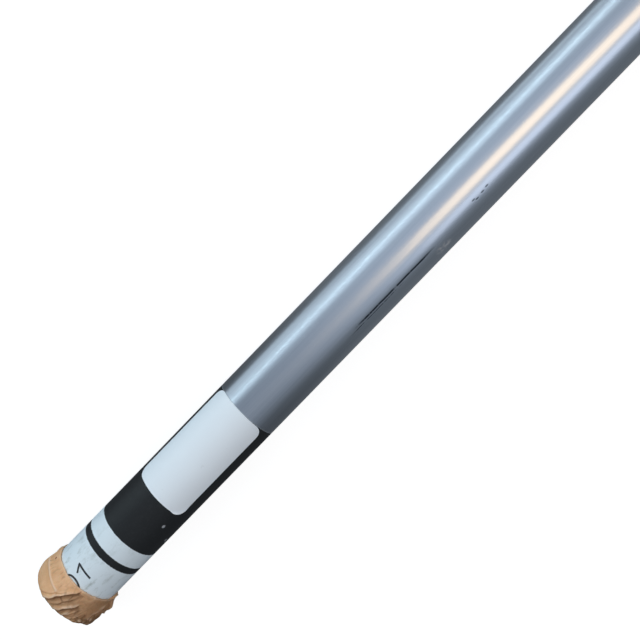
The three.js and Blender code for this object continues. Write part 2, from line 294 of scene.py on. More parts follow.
# The studio's greys by height: (height, colour). It dims towards the tip: from and to two
# slopes, between two strengths.
WORLD_GREYS = ((0.0, (0.16, 0.18, 0.20)), (0.35, (0.25, 0.285, 0.325)), (0.95, (0.60, 0.70, 0.83)))
WORLD_DIMMING = (0.04, 0.25, 1.0, 0.5)


def axes_matrix(x_axis, y_axis, z_axis, place):
    columns = [(*axis, 0) for axis in (x_axis, y_axis, z_axis)] + [(*place, 1)]
    return Matrix(columns).transposed()


def make_camera():
    """Looks down at the tip section, which crosses the picture from corner to corner."""
    place = flat_point(tip, CAMERA_PLACE, 0, CAMERA_HEIGHT)
    target = flat_point(tip, CAMERA_AIM, CAMERA_AIM_SIDE, 0)
    backward = (place - target).normalized()
    right = tip.side * sin(CAMERA_ROLL) - tip.along * cos(CAMERA_ROLL)
    upward = backward.cross(right).normalized()
    data = bpy.data.cameras.new("camera")
    data.lens = CAMERA_LENS
    data.sensor_width = 36
    data.clip_start = 0.01
    camera = add_object("camera", data)
    camera.matrix_world = axes_matrix(upward.cross(backward), upward, backward, place)
    bpy.context.scene.camera = camera


def strip_light(name, tilt, size, power, colour, x, skew=0.0, distance=620):
    """An area light beside the tip section at x, tilted from above it towards its side.

    Its length runs along the section, or is skewed from it. Angles are in degrees.
    """
    tilt = radians(tilt)
    outward = UP * cos(tilt) + tip.side * sin(tilt)
    length_way = Matrix.Rotation(radians(skew), 3, outward) @ tip.along
    data = bpy.data.lights.new(name, "AREA")
    data.shape = "RECTANGLE"
    data.size = size[0] * MM
    data.size_y = size[1] * MM
    data.energy = power
    data.color = colour
    light = add_object(name, data)
    place = flat_point(tip, x, 0, 0) + outward * distance * MM
    light.matrix_world = axes_matrix(length_way, outward.cross(length_way), outward, place)
    light.visible_camera = False
    return light


def make_lights():
    strip_light("cool_broad", -75, (1100, 680), 1.85, (0.76, 0.91, 1.0), 250, skew=14)
    strip_light("cool_line", -63, (1300, 12), 0.36, (0.72, 0.95, 1.0), 200, skew=10)
    strip_light("warm_strip", 14, (600, 280), 0.94, (1.0, 0.70, 0.38), 0, skew=-6)
    strip_light("lilac_strip", 47, (600, 220), 0.45, (0.80, 0.87, 1.0), -20)
    fill = strip_light("matte_fill", -48, (1200, 1000), 2.1, (0.78, 0.93, 1.0), 0, distance=900)
    fill.visible_glossy = False


def make_world():
    """A studio that is pale above, slate grey near the horizon and darker towards the tip."""
    graph = Graph(bpy.data.worlds.new("studio"))
    direction = graph.node("TexCoord", {}, "Generated")
    ramp = graph.node("ValToRGB", {0: graph.split(direction)[2]})
    greys = ramp.socket.node.color_ramp.elements
    greys.new(WORLD_GREYS[1][0])
    for grey, (height, colour) in zip(greys, WORLD_GREYS):
        grey.position = height
        grey.color = (*colour, 1)
    dot = {0: direction, 1: tip.along}
    slope = graph.node("VectorMath", dot, "Value", operation="DOT_PRODUCT")
    dimmed = graph.node("MapRange", dict(enumerate((slope, *WORLD_DIMMING))))
    bpy.context.scene.world = graph.set("Background", Color=ramp, Strength=dimmed)


def make_floor():
    """A plain pale floor. The object is lit by the studio, not by light off the floor."""
    editable = bmesh.new()
    bmesh.ops.create_circle(editable, cap_ends=True, segments=96, radius=4000 * MM)
    floor = mesh_object("floor", editable)
    look = new_look("floor")
    look.set(Base_Color=(0.3, 0.3, 0.3), Roughness=0.8)
    look.set(Emission_Color=(1.0, 1.0, 1.0), Emission_Strength=0.85)
    floor.data.materials.append(look.owner)
    floor.visible_glossy = False
    floor.visible_diffuse = False


make_camera()
make_lights()
make_world()
make_floor()
bpy.context.scene.view_settings.view_transform = "Standard"


# Mesh making


def finish_mesh(name, vertices, faces, material, node=None, body=None, local=None, sharp=35,
                blended=False):
    """A smooth-shaded piece that replaces a node or rides on a body. A blended one is left unattached.
    """
    body = body or BODY_OF[node]
    mesh = bpy.data.meshes.new(name)
    mesh.from_pydata([tuple(vertex) for vertex in vertices], [], faces)
    editable = bmesh.new()
    editable.from_mesh(mesh)
    bmesh.ops.recalc_face_normals(editable, faces=editable.faces)
    editable.to_mesh(mesh)
    editable.free()
    mark_place(mesh, section_of(body), local)
    smooth_shaded(mesh, sharp)
    mesh.materials.append(material)
    piece = add_object(name, mesh)
    if not blended:
        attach(piece, body)
    if node:
        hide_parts(node)
    slot_name(material)
    return piece


def slot_name(material):
    """The record's slot has the material's name, without the number that Blender may add."""
    name = material.name.split(".")[0]
    return SLOTS.get(name, name)


def smooth_shaded(mesh, sharp=35):
    mesh.shade_smooth()
    mesh.set_sharp_from_angle(angle=radians(sharp))


def mark_place(mesh, section, local=None):
    """Stores each point's place in its section's frame, or a place that is given."""
    if local is None:
        axes = np.array([section.along, section.side, UP])
        places = np.empty(len(mesh.vertices) * 3, np.float32)
        mesh.vertices.foreach_get("co", places)
        local = (places.reshape(-1, 3) / MM - np.array(section.origin)) @ axes.T
    if "section" not in mesh.attributes:
        mesh.attributes.new("section", "FLOAT_VECTOR", "POINT")
    stored = mesh.attributes["section"].data
    stored.foreach_set("vector", np.array(local, np.float32).ravel())


def softened(profile, size, steps=3, loop=True):
    """A profile with each corner rounded. A loop's last point joins its first."""
    count = len(profile)
    rounded = []
    for index, place in enumerate(profile):
        if not loop and index in (0, count - 1):
            rounded.append(place)
            continue
        corner = Vector(place)
        before = Vector(profile[index - 1]) - corner
        after = Vector(profile[(index + 1) % count]) - corner
        cut = min(size, before.length * 0.45, after.length * 0.45)
        start = corner + before.normalized() * cut
        end = corner + after.normalized() * cut
        for step in range(steps + 1):
            t = step / steps
            rounded.append(tuple(start * (1 - t) ** 2 + corner * 2 * t * (1 - t) + end * t * t))
    return rounded


def ring_faces(counts, sides, loop=False):
    """Faces between rings of points that follow each other. A ring has sides points, or one."""
    rings = list(zip(itertools.accumulate(counts, initial=0), counts))
    pairs = list(zip(rings, rings[1:])) + ([(rings[-1], rings[0])] if loop else [])
    faces = []
    for (low, low_count), (high, high_count) in pairs:
        for index in range(sides):
            after = (index + 1) % sides
            corners = [low + index % low_count, low + after % low_count]
            corners += [high + after % high_count, high + index % high_count]
            faces.append(list(dict.fromkeys(corners)))
    return faces


def capped_faces(rings, sides):
    """The faces of a closed body with flat ends, from rings of points that follow each other."""
    ends = [list(range(first, first + sides)) for first in (0, (rings - 1) * sides)]
    return ring_faces([sides] * rings, sides) + ends


def turned(name, node, profile, material, sides=96, loop=True, shape=None):
    """A piece turned about its section's axis from a profile of (x, radius) points.

    A loop closes on itself. Otherwise the profile starts and ends on the axis. shape may change
    each point's radius: it takes (x, radius, angle).
    """
    section = section_of(BODY_OF[node])
    counts = [sides if radius > 0 else 1 for x, radius in profile]
    vertices = []
    for (x, radius), count in zip(profile, counts):
        for index in range(count):
            angle = 2 * pi * index / sides
            shaped = shape(x, radius, angle) if shape else radius
            vertices.append(point(section, x, shaped, angle))
    return finish_mesh(name, vertices, ring_faces(counts, sides, loop), material, node)


def swept(name, node, path, outline, material, twist=0.0, sides=36, blended=False):
    """A solid swept along a path of points. outline(angle) is its radius, and it may twist.

    Its stored place is the distance along the path and the place in its own cross-section.
    """
    vertices, local = [], []
    travelled = 0.0
    for index, here in enumerate(path):
        before = path[max(index - 1, 0)]
        after = path[min(index + 1, len(path) - 1)]
        forward = (after - before).normalized()
        across = UP.cross(forward).normalized()
        upward = forward.cross(across)
        if index:
            travelled += (here - before).length / MM
        for step in range(sides):
            angle = 2 * pi * step / sides
            radius = outline(angle)
            spun = angle + travelled * twist
            outward = upward * cos(spun) + across * sin(spun)
            vertices.append(here + outward * radius * MM)
            local.append((travelled, radius * sin(angle), radius * cos(angle)))
    faces = capped_faces(len(path), sides)
    return finish_mesh(name, vertices, faces, material, node, local=local, blended=blended)


# Materials


class TubeMarks:
    """Masks of marks on a tube. Their places are (mm up from the tape's edge, degrees round)."""

    def __init__(self, graph, below, arc):
        self.graph, self.below, self.arc = graph, below, arc

    def flat(self, across):
        return self.graph.node("CombineXYZ", {0: self.below, 1: across})

    def spot(self, place, size, soft=0.8):
        """1 inside a soft ellipse whose half size is (mm up, mm round)."""
        u = (self.below - place[0]) / size[0]
        v = (self.arc - arc_length(place[1])) / size[1]
        return (u * u + v * v).step(1 - soft, 1 + soft, 1.0, 0.0)

    def scratch(self, degrees, span, half_width, gaps):
        """A long scratch that wanders a little, and stops where noise is under gaps."""
        along = self.flat(degrees)
        line = self.arc + (self.graph.noise(0.3, 2, place=along) - 0.5) * 0.2
        middle = arc_length(degrees)
        scratch = line.between(middle - half_width, middle + half_width, 0.09)
        scratch = scratch * self.below.between(*span, 2.0)
        return scratch * self.graph.noise(0.8, 5, 0.7, along).step(gaps, gaps + 0.2)

    def scuff(self, place, size):
        patches = self.graph.noise(1.1, 5, 0.7, self.flat(self.arc)).step(0.42, 0.6)
        return self.spot(place, size, 0.7) * patches


def arc_length(degrees):
    return radians(degrees) * TUBE_RADIUS


def section_tube_material(name, worn):
    """Satin aluminium with painted bands at the lower end."""
    graph = new_look(name)
    x, y, z = graph.split(graph.place)
    lines = graph.noise((0.032, 2.56), 6, 0.65)
    cloud = graph.noise((0.04, 0.12), 3)
    grain = graph.noise(2.4, 5, 0.6)
    below = TAPE_EDGE - x
    edge = below + (grain - 0.5) * 0.22
    ring = edge.between(*RING_PRINT, PRINT_SOFTNESS)
    black = edge.between(*BLACK_PRINT, PRINT_SOFTNESS)
    last = BLACK_PRINT[1]
    paint = edge.step(last - PRINT_SOFTNESS, last + PRINT_SOFTNESS, 1.0, 0.0)
    bare_metal = 1.0 - paint

    dirt = graph.noise((0.35, 0.7), 5, 0.65).step(0.5, 0.74) * below.step(-1.0, 9.0, 1.0, 0.25)
    white = dirt.mix((0.80, 0.88, 0.92), (0.43, 0.48, 0.46))
    ink = grain.step(0.45, 0.8).mix((0.009, 0.0100, 0.0108), (0.016, 0.0175, 0.0190))
    metal = lines.step(0.3, 0.75).mix((0.49, 0.53, 0.59), (0.56, 0.595, 0.65))
    metal = cloud.step(0.4, 0.7).mix(metal, (0.52, 0.555, 0.61))
    colour = paint.mix(metal, ring.most(black).mix(white, ink))
    height = lines * 0.35 + paint * 0.5
    if worn:
        tube = TubeMarks(graph, below, graph.math("ARCTAN2", y, z) * TUBE_RADIUS)
        marks = [tube.scratch(*scratch) for scratch in SCRATCHES]
        marks += [tube.spot(place, (0.4, 0.17)) * 0.75 for place in PITS]
        marks = functools.reduce(Value.most, marks)
        chips = tube.spot((18.0, 38), (0.34, 0.26)).most(tube.spot((15.3, 70), (0.3, 0.3)))
        scuff = tube.scuff((89.6, 52), (1.6, 1.0))
        colour = (chips * black).mix(colour, (0.40, 0.41, 0.43))
        colour = marks.mix(colour, (0.02, 0.03, 0.045))
        colour = scuff.mix(colour, (0.58, 0.59, 0.61))
        bare_metal = bare_metal - scuff * 0.6
        height = height - marks * 1.5
    return graph.set(
        Base_Color=colour,
        Coat_Weight=bare_metal * 0.9,
        Coat_Roughness=0.08,
        Metallic=bare_metal,
        Roughness=paint.lerp(lines.lerp(0.27, 0.35), grain.lerp(0.42, 0.58)),
        Normal=graph.bump(height, 0.00002, 0.6),
    )


def tape_material():
    """Creased paper tape, with painted shade in its hollows and painted highlights on the lips of its
    folds.
    """
    graph = new_look("paper_tape")
    crepe = graph.noise((6.0, 1.6), 5, 0.6)
    mottle = graph.noise(0.55, 5, 0.6)
    fibre = graph.noise(5.0, 6, 0.7)
    colour = mottle.step(0.35, 0.7).mix((0.74, 0.40, 0.195), (0.82, 0.48, 0.26))
    colour = fibre.step(0.45, 0.75, 0.0, 0.4).mix(colour, (0.86, 0.56, 0.34))
    colour = graph.attribute("shade").mix(colour, (0.27, 0.135, 0.055))
    # Painted highlight on the lips of the folds, then painted shade in the creases
    colour = graph.attribute("lip_highlight").step(0.1, 1.0, 0.0, 0.7).mix(colour, (0.90, 0.66, 0.47))
    colour = graph.attribute("crease_shade").step(0.1, 0.95, 0.0, 0.9).mix(colour, (0.20, 0.095, 0.035))
    colour = graph.attribute("stain").step(0.35, 0.65).mix(colour, (0.22, 0.045, 0.025))
    return graph.set(
        Base_Color=colour,
        Roughness=mottle.lerp(0.55, 0.8),
        Subsurface_Weight=0.08,
        Subsurface_Scale=0.0006,
        Normal=graph.bump(crepe * 0.6 + fibre * 0.4, 0.00007, 0.7),
    )


def label_material():
    """A blank printed film, a little scuffed."""
    graph = new_look("label_film")
    grain = graph.noise(3.5, 5, 0.65)
    scuff = graph.noise((0.5, 1.6), 6, 0.7).step(0.62, 0.8) * 0.45
    colour = graph.noise((0.12, 0.3)).mix((0.84, 0.89, 0.93), (0.87, 0.92, 0.96))
    return graph.set(
        Base_Color=scuff.mix(colour, (0.50, 0.52, 0.54)),
        Roughness=grain.lerp(0.42, 0.58),
        Normal=graph.bump(grain, 0.00001, 0.4),
    )


def ink_material():
    """Dark print that has worn thin in places."""
    graph = new_look("print_ink")
    grain = graph.noise(3.0, 4, 0.6)
    return graph.set(
        Base_Color=grain.step(0.5, 0.75, 0.0, 0.6).mix((0.022, 0.024, 0.028), (0.16, 0.17, 0.18)),
        Roughness=grain.lerp(0.45, 0.6),
    )


def metal_material(name, rough, stretch, dark=(0.50, 0.51, 0.53), light=(0.72, 0.73, 0.74), stain=None):
    """A machined metal. Stretch sets the way its tool marks run: (along, across)."""
    graph = new_look(name)
    marks = graph.noise(stretch, 6, 0.6)
    cloud = graph.noise(0.28, 4, 0.6)
    colour = marks.step(0.35, 0.7).mix(dark, light)
    if stain:
        colour = cloud.step(0.5, 0.75, 0.0, 0.7).mix(colour, stain)
    return graph.set(
        Base_Color=colour,
        Metallic=1.0,
        Roughness=cloud.lerp(rough - 0.06, rough + 0.1),
        Normal=graph.bump(marks, 0.00002),
    )


def cable_material():
    """Steel strands with grime between them. Each strand shows its wires."""
    graph = new_look("steel_cable")
    x, y, z = graph.split(graph.place)
    groove = graph.math("SQRT", y * y + z * z).step(0.88, 1.05, 1.0, 0.0)
    wires = graph.math("SINE", graph.math("ARCTAN2", y, z) * 18.0 + x * 5.0)
    colour = graph.noise(3.0).mix((0.42, 0.43, 0.44), (0.62, 0.63, 0.64))
    return graph.set(
        Base_Color=groove.mix(colour, (0.06, 0.055, 0.05)),
        Metallic=0.95,
        Roughness=groove.lerp(0.3, 0.6),
        Normal=graph.bump(wires.step(-1.0, 1.0), 0.00006, 0.8),
    )


def plastic_material(name, rough, dark, light, grain_scale=3.2, grain_depth=0.00003):
    """Moulded plastic or rubber with a spark-eroded grain and a little dust."""
    graph = new_look(name)
    grain = graph.node("TexVoronoi", {"Vector": graph.place, "Scale": grain_scale})
    dust = graph.noise(1.4, 6, 0.7)
    dusted = tuple(0.7 * channel + 0.105 for channel in light)
    colour = graph.noise(0.12).mix(dark, light)
    return graph.set(
        Base_Color=dust.step(0.55, 0.8, 0.0, 0.35).mix(colour, dusted),
        Roughness=dust.step(0.3, 0.7).lerp(rough - 0.06, rough + 0.08),
        Normal=graph.bump(grain, grain_depth),
    )


def anodised_material(name, rough, dark, light):
    """Anodised aluminium, worn lighter where the noise is high."""
    graph = new_look(name)
    turning = graph.noise((5.0, 0.12))
    wear = graph.noise(0.8, 7, 0.7).step(0.66, 0.78, 0.0, 0.7)
    return graph.set(
        Base_Color=wear.mix(turning.step(0.3, 0.7).mix(dark, light), (0.42, 0.43, 0.44)),
        Metallic=0.9,
        Roughness=turning.lerp(rough - 0.05, rough + 0.08),
        Normal=graph.bump(turning, 0.00002),
    )


ORANGE = ((0.50, 0.085, 0.015), (0.58, 0.115, 0.025))
BRASS = ((0.50, 0.36, 0.14), (0.68, 0.52, 0.25), (0.26, 0.17, 0.07))
section_tube = section_tube_material("section_tube", False)
worn_tube = section_tube_material("worn_section_tube", True)
print_ink = ink_material()
paper_tape = tape_material()
label_film = label_material()
steel_cable = cable_material()
ferrule_metal = metal_material("ferrule_metal", 0.24, (3.0, 0.3))
tip_metal = metal_material("tip_metal", 0.36, (4.0, 0.2))
spring_steel = metal_material("spring_steel", 0.25, (0.6, 4.0))
crimp_brass = metal_material("crimp_brass", 0.34, (2.0, 2.0), *BRASS)
collar_metal = anodised_material("collar_metal", 0.34, (0.06, 0.065, 0.075), (0.10, 0.105, 0.12))
lock_metal = anodised_material("lock_metal", 0.30, (0.030, 0.034, 0.042), (0.055, 0.06, 0.07))
guide_plastic = plastic_material("guide_plastic", 0.5, (0.02,) * 3, (0.035,) * 3)
grip_rubber = plastic_material("grip_rubber", 0.72, (0.012, 0.0125, 0.014), (0.022, 0.0225, 0.025),
                               4.5, 0.00005)
button_plastic = plastic_material("button_plastic", 0.42, *ORANGE)
handle_plastic = plastic_material("handle_plastic", 0.5, *ORANGE, 3.8, 0.00004)
# Materials whose slot in the record has another name than their own
SLOTS = {"print_ink": "section_tube", "worn_section_tube": "section_tube"}


# Tube sections


def grooves(places, half, radius, depth, floor=0.0):
    """The corners of grooves in an outline: half their width, and half their flat floor."""
    corners = []
    for place in places:
        bottom = sorted({place - floor, place + floor})
        corners += [(place - half, radius), *[(x, radius - depth) for x in bottom]]
        corners.append((place + half, radius))
    return corners


def sleeve(low, high, bore, radius, between=(), upper=(0, 0), lower=(0, 0)):
    """A sleeve's outline, with corners between its ends. Each end's chamfer is (length, depth)."""
    corners = [(low, bore), (low, radius - upper[1]), (low + upper[0], radius), *between]
    corners += [(high - lower[0], radius), (high, radius - lower[1]), (high, bore)]
    return list(dict.fromkeys(corners))


def make_tube(number):
    outline = sleeve(*reach(f"tube_{number}"), TUBE_BORE, TUBE_RADIUS)
    material = worn_tube if number == 1 else section_tube
    turned(f"tube_skin_{number}", f"tube_{number}", softened(outline, 0.3), material)


def make_ferrule(number):
    """A turned sleeve with a lead-in cone and two shallow grooves near the tube."""
    rings = grooves((-4, -2), 0.5, FERRULE_RADIUS, 0.15, 0.25)
    outline = sleeve(*reach(f"ferrule_{number}"), FERRULE_BORE, FERRULE_RADIUS, rings, LEAD_IN)
    turned(f"ferrule_skin_{number}", f"ferrule_{number}", softened(outline, 0.3), ferrule_metal)


def make_bush(number):
    low, high = reach(f"guide_bush_{number}")
    corners = [(low, BUSH_BORE), (low, FERRULE_RADIUS), (high, FERRULE_RADIUS)]
    corners += [(high, 2 * BUSH_BORE), (high - BUSH_FLARE, BUSH_BORE)]
    turned(f"bush_skin_{number}", f"guide_bush_{number}", softened(corners, 0.4), guide_plastic)


# Cable

STRANDS = 6
CABLE_TWIST = 2 * pi / 14
CABLE_STEP = 1.2
FOLD_STEP = 0.7


def cable_outline(angle):
    return CABLE_RADIUS * (0.86 + 0.14 * abs(cos(STRANDS * angle / 2)) ** 0.7)


def make_straight_cable(number):
    node = f"cable_{number}"
    section = sections[number]
    low, high = reach(node)
    steps = ceil((high - low) / CABLE_STEP)
    path = [flat_point(section, x, 0, 0) for x in np.linspace(low, high, steps + 1)]
    swept(f"strands_{number}", node, path, cable_outline, steel_cable, CABLE_TWIST)


def fold_path(number):
    """Points down the middle of a fold's cable, and where its bend starts and ends."""
    upper = sections[number]
    swing = -1 if number % 2 == 0 else 1
    turn = pi - upper.along.angle(-sections[number - 1].along)
    before = SOCKET_LEG + BEND_LEAD
    around = BEND_RADIUS * turn
    whole = before + around + BEND_LEAD + FERRULE_LEG
    base = SECTION_LENGTH + BEND_LEAD

    def place(travelled):
        angle = min(max((travelled - before) / BEND_RADIUS, 0), turn)
        past = max(travelled - before - around, 0)
        x = base + min(travelled - before, 0) + BEND_RADIUS * sin(angle) + past * cos(angle)
        y = BEND_RADIUS * (1 - cos(angle)) + past * sin(angle)
        return flat_point(upper, x, swing * y, 0)

    path = [place(travelled) for travelled in np.linspace(0, whole, ceil(whole / FOLD_STEP) + 1)]
    return path, tuple(place(before)), tuple(place(before + around))


def make_fold_cable(number):
    """A fold's cable, swept round the bend of its fold.

    Its two ends' bodies are put in order, but nothing uses them.
    """
    path, start, end = fold_path(number)
    piece = swept(f"fold_strands_{number}", f"fold_cable_{number}", path, cable_outline, steel_cable,
                  CABLE_TWIST, blended=True)
    ends = [(f"link_{number}", start), (f"section_{number - 1}", end)]
    if number % 2:
        ends.reverse()
    (first, start), (second, end) = ends
    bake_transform(piece)


# Printed numerals

DIGIT_WIDTH = 1.9
DIGIT_PITCH = 3.05
DIGIT_SLANT = 0.4
DIGIT_HEIGHT = 3.36
DIGIT_FOOT = radians(8.6) * TUBE_RADIUS
FIRST_DIGIT = -1.5
STROKE = 0.36
STROKE_STEP = 0.25
INK_INSIDE = TUBE_RADIUS - 0.02
INK_OUTSIDE = TUBE_RADIUS + 0.015


def arc(x, y, rx, ry, start, end, steps=20):
    """Points on an ellipse, in shares of a digit's width and height. Angles are in degrees."""
    angles = np.radians(np.linspace(start, end, steps + 1))
    return [(x + rx * cos(angle), y + ry * sin(angle)) for angle in angles]


# Each digit is one stroke in a box from (0, 0) to (1, 1)
DIGITS = (
    arc(0.5, 0.5, 0.5, 0.5, 0, 360, 48),
    [(-0.1, 0.7), (0.56, 1.0), (0.56, 0.0)],
    arc(0.5, 0.73, 0.46, 0.27, 165, -35) + [(0.04, 0.0), (1.0, 0.0)],
    arc(0.45, 0.76, 0.42, 0.24, 150, -90) + arc(0.45, 0.26, 0.5, 0.26, 90, -150),
    [(1.0, 0.28), (0.0, 0.28), (0.72, 1.0), (0.72, 0.0)],
    [(0.92, 1.0), (0.2, 1.0), (0.12, 0.55)] + arc(0.46, 0.32, 0.5, 0.32, 120, -150),
    [(0.8, 1.0)] + arc(0.5, 0.31, 0.48, 0.31, 160, 520, 40),
)


def subdivided(points):
    """The same line with short steps, so that it follows the tube. Sharp corners stay."""
    fine = []
    for a, b in zip(points, points[1:]):
        steps = max(ceil((b - a).length / STROKE_STEP), 1)
        fine += [a.lerp(b, step / steps) for step in range(steps)]
    return fine + [points[-1]]


def make_numerals(number):
    """Two digits that read up the section. Their tops point away from its side."""
    for index, digit in enumerate((0, number)):
        line = []
        for u, v in DIGITS[digit]:
            up_section = FIRST_DIGIT + index * DIGIT_PITCH + u * DIGIT_WIDTH + (v - 0.5) * DIGIT_SLANT
            line.append(Vector((TAPE_EDGE - up_section, DIGIT_FOOT - v * DIGIT_HEIGHT)))
        line = subdivided(line)
        vertices = []
        for step, here in enumerate(line):
            run = line[min(step + 1, len(line) - 1)] - line[max(step - 1, 0)]
            run.normalize()
            across = Vector((-run.y, run.x)) * STROKE / 2
            for radius, edge in ((INK_INSIDE, here - across), (INK_INSIDE, here + across),
                                 (INK_OUTSIDE, here + across), (INK_OUTSIDE, here - across)):
                vertices.append(point(sections[number], edge.x, radius, edge.y / TUBE_RADIUS))
        finish_mesh(f"numeral_{number}_{'ab'[index]}", vertices, capped_faces(len(line), 4), print_ink,
                    body=f"section_{number}")


# Label

LABEL_NEAR = 21.3
LABEL_LENGTH = BLACK_PRINT[1] - LABEL_NEAR
LABEL_LEFT = radians(-65.5)
LABEL_RIGHT = radians(47)
LABEL_CORNER = 1.8
LABEL_SKEW = 0.2
LABEL_INSIDE = TUBE_RADIUS + 0.02
LABEL_OUTSIDE = TUBE_RADIUS + 0.13


def bump(value, middle, width):
    return exp(-((value - middle) / width) ** 2)


def smooth(value, low, high):
    share = min(max((value - low) / (high - low), 0), 1)
    return share * share * (3 - 2 * share)


def label_lift(share_long, share_round):
    """How far the label stands off the tube, by shares of its length and width."""
    bubble = bump(share_long, 0.3, 0.1) * bump(share_round, 0.72, 0.16)
    corner = max(share_round - 0.93, 0) * max(0.12 - share_long, 0) / 0.0084
    return 0.05 * bubble + 0.22 * corner


def make_label():
    """A film wrapped round the tube, with round corners and one corner just lifting."""
    rows, columns = 64, 56
    vertices = []
    for row in range(rows):
        share = 0.5 - 0.5 * cos(pi * row / (rows - 1))
        from_end = min(share, 1 - share) * LABEL_LENGTH
        short = max(LABEL_CORNER - from_end, 0)
        inset = (LABEL_CORNER - sqrt(LABEL_CORNER ** 2 - short ** 2)) / TUBE_RADIUS
        width = LABEL_RIGHT - LABEL_LEFT - 2 * inset
        shares = np.linspace(0, 1, columns)
        ring = [(LABEL_INSIDE, across) for across in shares]
        ring += [(LABEL_OUTSIDE, across) for across in reversed(shares)]
        for radius, across in ring:
            x = TAPE_EDGE - LABEL_NEAR - share * LABEL_LENGTH + (across - 0.5) * LABEL_SKEW
            raised = radius + label_lift(share, across)
            vertices.append(point(tip, x, raised, LABEL_LEFT + inset + width * across))
    around = 2 * columns
    faces = ring_faces([around] * rows, around)
    for end in (0, (rows - 1) * around):
        for low in range(columns - 1):
            high = around - 1 - low
            faces.append([end + low, end + low + 1, end + high - 1, end + high])
    finish_mesh("label_film", vertices, faces, label_film, "label", sharp=50)


# Tape over the tip

TAPE_ROWS = 110
TAPE_SIDES = 420
TAPE_WALL = 0.2
TAPE_BLUNT = ((0.0, 6.76), (0.5, 6.95), (2.0, 7.12), (4.0, 7.25), (5.5, 7.15),
              (6.2, 6.7), (6.55, 5.3), (6.68, 2.8), (6.7, 0.0))
TAPE_INSIDE = ((5.75, 0.0), (5.6, 4.4), (4.8, 6.2), (3.6, 6.56), (0.06, 6.56))
TAPE_STAIN = (1.0, radians(-62))

Fold = namedtuple("Fold", "start end height reach")

# Folds as seen from above: (mm past the tape's edge, mm to the tip section's side)
FOLDS_ABOVE = (
    Fold((6.8, -3.2), (0.35, 1.5), 0.5, 1.6),
    Fold((6.7, -0.3), (2.3, 3.2), 0.45, 1.1),
    Fold((6.6, 1.6), (3.4, 3.5), 0.32, 0.8),
    Fold((6.4, -4.5), (1.8, -0.1), 0.16, 0.5),
    Fold((6.8, -1.7), (2.0, 1.7), 0.16, 0.5),
    Fold((6.7, 0.6), (3.2, 2.6), 0.14, 0.4),
    Fold((6.6, 3.0), (3.8, 4.6), 0.24, 0.5),
    Fold((4.6, 5.6), (0.8, 7.0), 0.26, 0.6),
    Fold((5.2, 4.2), (6.0, 6.6), 0.30, 0.6),
    Fold((3.6, 4.9), (5.2, 6.4), 0.22, 0.5),
    Fold((0.75, 1.5), (0.6, 3.3), 0.16, 0.35),
)
# The same kind of folds on the two sides that face down, seen along their own directions
FOLDS_BESIDE = (
    Fold((6.5, -3.0), (0.3, -0.4), 0.45, 1.3),
    Fold((6.2, 0.4), (0.8, 2.6), 0.42, 1.0),
    Fold((3.0, -5.2), (5.6, -1.0), 0.3, 0.8),
)
FOLD_RUN = Vector((-0.807, 0.59, 0))


def along_profile(profile, count):
    """Points at even steps on a smooth curve through a profile: (place, normal, distance)."""
    knots = [Vector(p) for p in profile]
    knots = [knots[0] * 2 - knots[1]] + knots + [knots[-1] * 2 - knots[-2]]
    curve = []
    for a, b, c, d in zip(knots, knots[1:], knots[2:], knots[3:]):
        for t in np.linspace(0, 1, 24, endpoint=False):
            curve.append(0.5 * (2 * b + (c - a) * t + (2 * a - 5 * b + 4 * c - d) * t ** 2
                                + (3 * b - 3 * c + d - a) * t ** 3))
    curve.append(knots[-2])
    spans = [(b - a).length for a, b in zip(curve, curve[1:])]
    reached = list(itertools.accumulate(spans, initial=0))
    placed = []
    for wanted in np.linspace(0, reached[-1], count):
        index = min(max(int(np.searchsorted(reached, wanted)) - 1, 0), len(spans) - 1)
        here = curve[index].lerp(curve[index + 1], (wanted - reached[index]) / spans[index])
        run = (curve[index + 1] - curve[index]).normalized()
        placed.append((here, Vector((-run.y, run.x)), wanted))
    return placed


def fold_height(fold, s, y):
    """One fold's height, a painted highlight on its lip and painted shade in the hollow beside it.

    The paper rises gently to a lip on one side of the line and drops behind it.
    """
    start, end = Vector(fold.start), Vector(fold.end)
    run = (end - start).normalized()
    offset = Vector((s, y)) - start
    across = run.x * offset.y - run.y * offset.x + 0.3 * noise.noise(Vector((s, y, 4)) * 0.8)
    ahead = offset.dot(run)
    shown = smooth(ahead, -0.5, 0.6) * smooth((end - start).length - ahead, -0.5, 0.9)
    gentle = exp(-abs(across) / fold.reach)
    steep = exp(-abs(across) / (0.5 * fold.reach))
    side = smooth(across, -0.1, 0.1)
    patchy = 0.65 + 0.7 * noise.noise(Vector((s, y, 9)) * 0.9)
    # A painted highlight along the fold's crest and painted shade in the hollow behind it
    lip_highlight = shown * patchy * bump(across, 0.24, 0.3) * min(fold.height * 2.4, 1)
    crease_shade = shown * (1 - side) * steep * min(fold.height * 2.6, 1)
    height = fold.height * shown * (gentle * side - 0.8 * steep * (1 - side))
    return height * (1 - 0.8 * smooth(s, 4.9, 6.3)), lip_highlight, crease_shade


def facets(place, size):
    """Long flat facets between sharp ridges: 0 on a ridge, up to about 1 inside a facet."""
    squeezed = (place - FOLD_RUN * place.dot(FOLD_RUN) * 0.6) / size
    distances = noise.voronoi(squeezed)[0]
    return min(distances[1] - distances[0], 1.0)


def pleats(s, angle):
    """Fine slanting pleats on the upper left, between the edge and a ring-shaped ridge."""
    shown = smooth(angle, -1.4, -1.1) * (1 - smooth(angle, -0.3, -0.1))
    shown *= smooth(s, 0.1, 0.6) * (1 - smooth(s, 2.3, 2.9))
    uneven = noise.noise(Vector((s * 0.7, angle * 5, 2)))
    wave = sin(angle * 44 + s * 1.6 + 4 * uneven) * (0.7 + uneven)
    bend = 2.75 + 0.25 * cos(angle * 4 + 1.2)
    ridge = bump(s, bend, 0.24) * smooth(angle, -1.5, -1.2) * (1 - smooth(angle, -0.3, -0.2))
    return shown * wave, ridge


